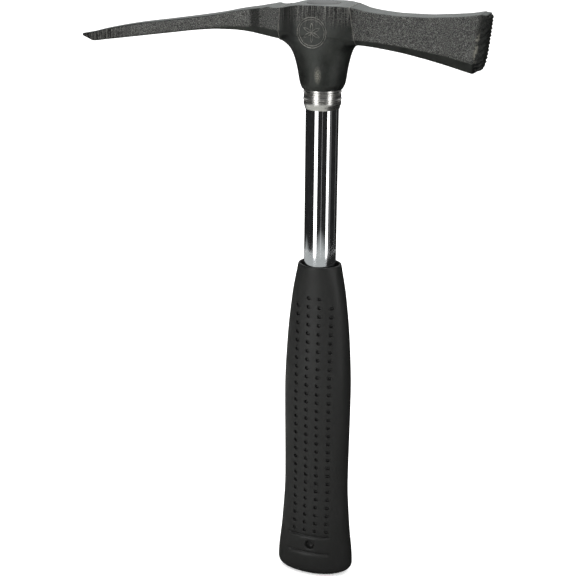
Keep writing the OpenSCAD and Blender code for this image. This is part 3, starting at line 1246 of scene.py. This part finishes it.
LINE_HEIGHTS = (24.3, 14.2)
LINE_HALF = 0.5
RECESS_X = 0.0
RECESS_Z = 19.3
RECESS_R = 2.6
RECESS_CELL = 3.4
RECESS_DEPTH = 2.8
RECESS_REACH = 4.2
FRONT_Y = 3.0
SPOT_SLACK = 0.3


def grip_heights():
    levels = {BUTT_ROUND * (1 - cos(radians(15 * k))) for k in range(7)}
    for z in dimple_heights:
        levels |= {z - DIMPLE_CELL, z + DIMPLE_CELL}
    for z in LINE_HEIGHTS:
        levels |= {z - LINE_HALF, z + LINE_HALF}
    levels |= {8.0, 11.0, RECESS_Z - RECESS_CELL, RECESS_Z + RECESS_CELL}
    levels |= {GRIP_TOP - drop for drop in (12, 6, 1, 0)}
    return sorted(levels)


def dimple_faces(shape):
    """The square faces that stand where a dimple goes, on the front and the back."""
    found = []
    for face in shape.faces:
        if len(face.verts) != 4:
            continue
        centre = face.calc_center_bounds()
        x, y, z = (in_mm(v) for v in centre)
        column = min(DIMPLE_COLUMNS, key=lambda c: abs(c - x))
        row = min(range(DIMPLE_ROWS), key=lambda k: abs(dimple_heights[k] - z))
        if abs(column - x) > SPOT_SLACK or abs(dimple_heights[row] - z) > SPOT_SLACK or abs(y) < FRONT_Y:
            continue
        if row == 0 and column in (DIMPLE_COLUMNS[0], DIMPLE_COLUMNS[-1]):
            continue
        found.append((face, column, dimple_heights[row]))
    return found


# Each pair: share of the radius, share of the depth
PIT_PROFILE = ((1.0, 0.0), (0.98, 0.08), (0.93, 0.55), (0.84, 0.92), (0.45, 1.0))


def press_round(shape, spots, radius, depth, cuts):
    """Turns faces into round pits: each face's rim is rounded, then sunk ring by ring."""
    faces = [face for face, _, _ in spots]
    edges = list({edge for face in faces for edge in face.edges})
    bmesh.ops.bisect_edges(shape, edges=edges, cuts=cuts)
    bmesh.ops.inset_individual(shape, faces=faces, thickness=mm(0.1), depth=0)
    for face, x, z in spots:
        normal = face.normal.copy()
        middle = face.calc_center_median()
        middle = Vector((mm(x), middle.y, mm(z)))
        for share, sink in PIT_PROFILE:
            if (share, sink) != PIT_PROFILE[0]:
                bmesh.ops.inset_region(shape, faces=[face], thickness=mm(0.02), depth=0)
            for vert in face.verts:
                away = Vector((vert.co.x - middle.x, 0, vert.co.z - middle.z)).normalized()
                spot = middle + away * mm(radius * share)
                spot.y -= (normal.x * (spot.x - middle.x) + normal.z * (spot.z - middle.z)) / normal.y
                vert.co = spot - normal * mm(depth * sink)


LINE_REACH = (-12.5, 10.4)
LINE_DEPTH = 1.0
RIM_WIDTH = 0.9
MOUTH_DEPTH = 9.0


def front_faces(shape, low, high, left, right):
    """Faces of the front between two heights and two x places."""
    found = []
    for face in shape.faces:
        x, y, z = (in_mm(v) for v in face.calc_center_bounds())
        if y < -FRONT_Y and low < z < high and left < x < right:
            found.append(face)
    return found


def cut_lines(shape):
    for z in LINE_HEIGHTS:
        strip = front_faces(shape, z - LINE_HALF, z + LINE_HALF, *LINE_REACH)
        bmesh.ops.inset_region(shape, faces=strip, thickness=mm(0.12), depth=mm(-LINE_DEPTH))


def press_recess(shape):
    """Merges the faces round the recess into one, then presses it."""
    low, high = RECESS_Z - RECESS_CELL, RECESS_Z + RECESS_CELL
    block = front_faces(shape, low, high, -RECESS_REACH, RECESS_REACH)
    merged = bmesh.ops.dissolve_faces(shape, faces=block)["region"]
    shape.normal_update()
    press_round(shape, [(merged[0], RECESS_X, RECESS_Z)], RECESS_R, RECESS_DEPTH, 3)


def open_mouth(shape, mouth):
    """A narrow rim round the mouth, then a wall down inside it to the tube."""
    top = next(face for face in shape.faces if set(face.verts) == set(mouth))
    inner_w, inner_d = MOUTH_HALF_W - RIM_WIDTH, MOUTH_HALF_D - RIM_WIDTH
    for drop in (0.0, 0.4, 4.0, MOUTH_DEPTH):
        bmesh.ops.inset_region(shape, faces=[top], thickness=mm(0.01), depth=0)
        squeeze = drop / MOUTH_DEPTH
        reach_w = inner_w + (TUBE_R - 0.3 - inner_w) * squeeze
        reach_d = inner_d + (TUBE_R - 0.3 - inner_d) * squeeze
        for vert in top.verts:
            a = atan2(vert.co.y / inner_d, vert.co.x / inner_w)
            vert.co = mm(reach_w * cos(a), reach_d * sin(a), GRIP_TOP - drop)


def make_grip(material):
    shape = bmesh.new()
    _, mouth = skin_sections(shape, [grip_ring(z) for z in grip_heights()])
    shape.normal_update()
    open_mouth(shape, mouth)
    press_round(shape, dimple_faces(shape), DIMPLE_R, DIMPLE_DEPTH, 2)
    cut_lines(shape)
    press_recess(shape)
    bmesh.ops.recalc_face_normals(shape, faces=shape.faces)
    grip = finish_piece("grip_sleeve", shape, material)
    soften = grip.modifiers.new("soften", "SUBSURF")
    soften.levels = 1
    soften.render_levels = 1
    return grip


def soft_black():
    """Soft black plastic with a faint moulded grain."""
    material, shader = new_material("soft_black", (0.0068, 0.0071, 0.0065), 0.0, 0.45)
    grain = noise(material, object_coords(material), 2200.0, 2.0)
    cloud = noise(material, object_coords(material), 60.0, 3.0)
    wire(material, ramp(material, cloud, [(0.35, 0.42), (0.7, 0.55)]), shader.inputs["Roughness"])
    bump(material, shader, grain, 0.12, mm(0.05))
    return material


grip = make_grip(soft_black())
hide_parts("grip")
print("grip", len(grip.data.polygons), "faces")


# %% [markdown]
# ## The hidden end plug
#
# The plug that closes the tube inside the grip keeps its CAD shape. It only needs a finish.

# %% End plug
def dull_plastic():
    material, shader = new_material("dull_plastic", (0.03, 0.03, 0.03), 0.0, 0.6)
    grain = noise(material, object_coords(material), 900.0)
    bump(material, shader, grain, 0.2, mm(0.05))
    return material


end_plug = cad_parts["tube_end_plug"]
end_plug.data.materials.clear()
end_plug.data.materials.append(dull_plastic())
print("end plug keeps its CAD shape,", len(end_plug.data.polygons), "faces")
